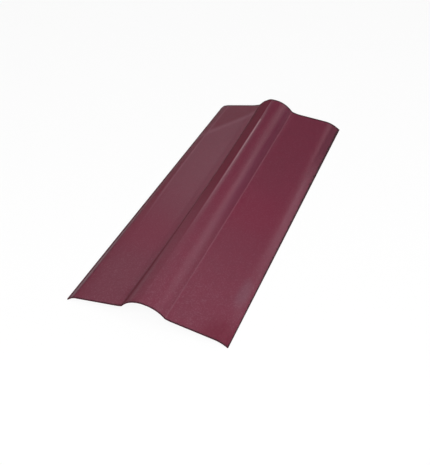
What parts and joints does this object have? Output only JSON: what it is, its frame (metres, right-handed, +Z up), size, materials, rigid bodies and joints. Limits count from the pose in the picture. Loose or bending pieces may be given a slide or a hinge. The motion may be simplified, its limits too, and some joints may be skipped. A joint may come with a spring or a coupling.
{
  "type": "ridge cap",
  "caption": "Moulded ridge cap for a corrugated roof: a long sheet with a rounded roll along its middle, sloping wings and turned-down outer lips.",
  "frame": {"origin": "on the floor that the cap lies on, under the middle of its length and width", "axes": "+Y runs along the ridge from the wide end of the roll to the narrow end, +X to the right of someone who looks along +Y, +Z up"},
  "size_m": [0.42, 1, 0.0701],
  "materials": {
    "painted_fibre_sheet": "satin"
  },
  "bodies": {
    "root": {"ridge_cap": "painted_fibre_sheet"}
  },
  "joints": []
}
